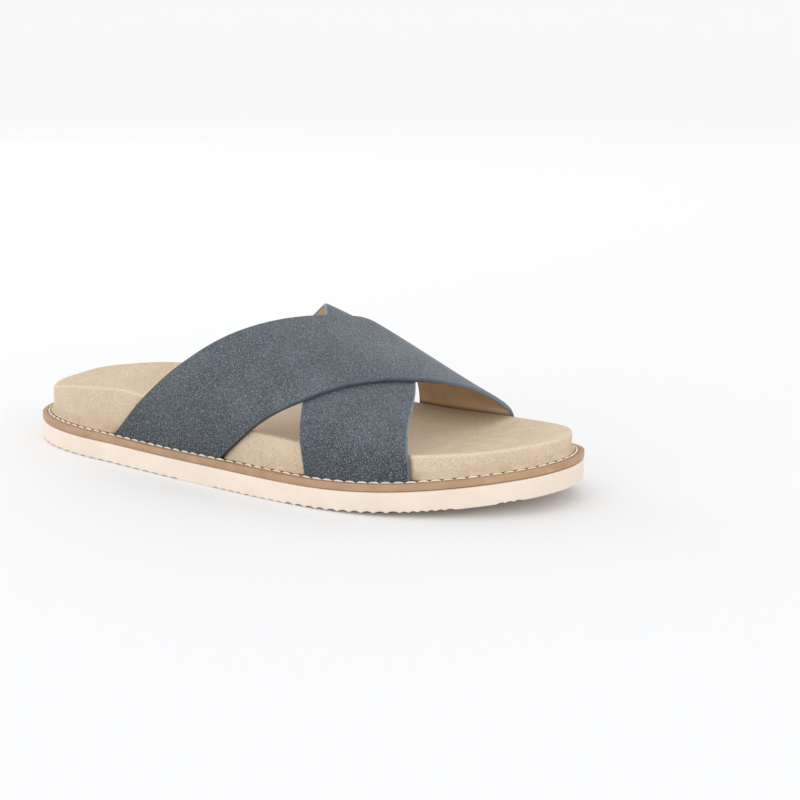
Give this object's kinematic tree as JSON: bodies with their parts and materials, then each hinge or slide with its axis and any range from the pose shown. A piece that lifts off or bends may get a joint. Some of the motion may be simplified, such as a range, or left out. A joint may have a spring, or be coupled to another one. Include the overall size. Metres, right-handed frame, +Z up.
{
  "type": "slide sandal",
  "caption": "Right slide sandal: wide suede straps that cross over the instep, a contoured footbed, a stitched welt and a foam outsole.",
  "frame": {"origin": "on the floor, in the middle of the sandal's length and width", "axes": "+X along the sandal to the toe, +Y to the big toe's side, +Z up"},
  "size_m": [0.285, 0.1116, 0.0758],
  "materials": {
    "outsole_foam": "smooth moulded foam, matt, cream with a touch of peach",
    "welt_leather": "smooth tan leather with a cut edge and an off-white running stitch",
    "footbed_suede": "fine sand-coloured suede, short nap",
    "strap_suede": "blue-grey suede with paler hairs, painted blue-grey edges and a smooth beige lining"
  },
  "bodies": {
    "root": {"outsole": "outsole_foam", "welt": "welt_leather", "footbed": "footbed_suede", "upper": "strap_suede"}
  },
  "joints": []
}
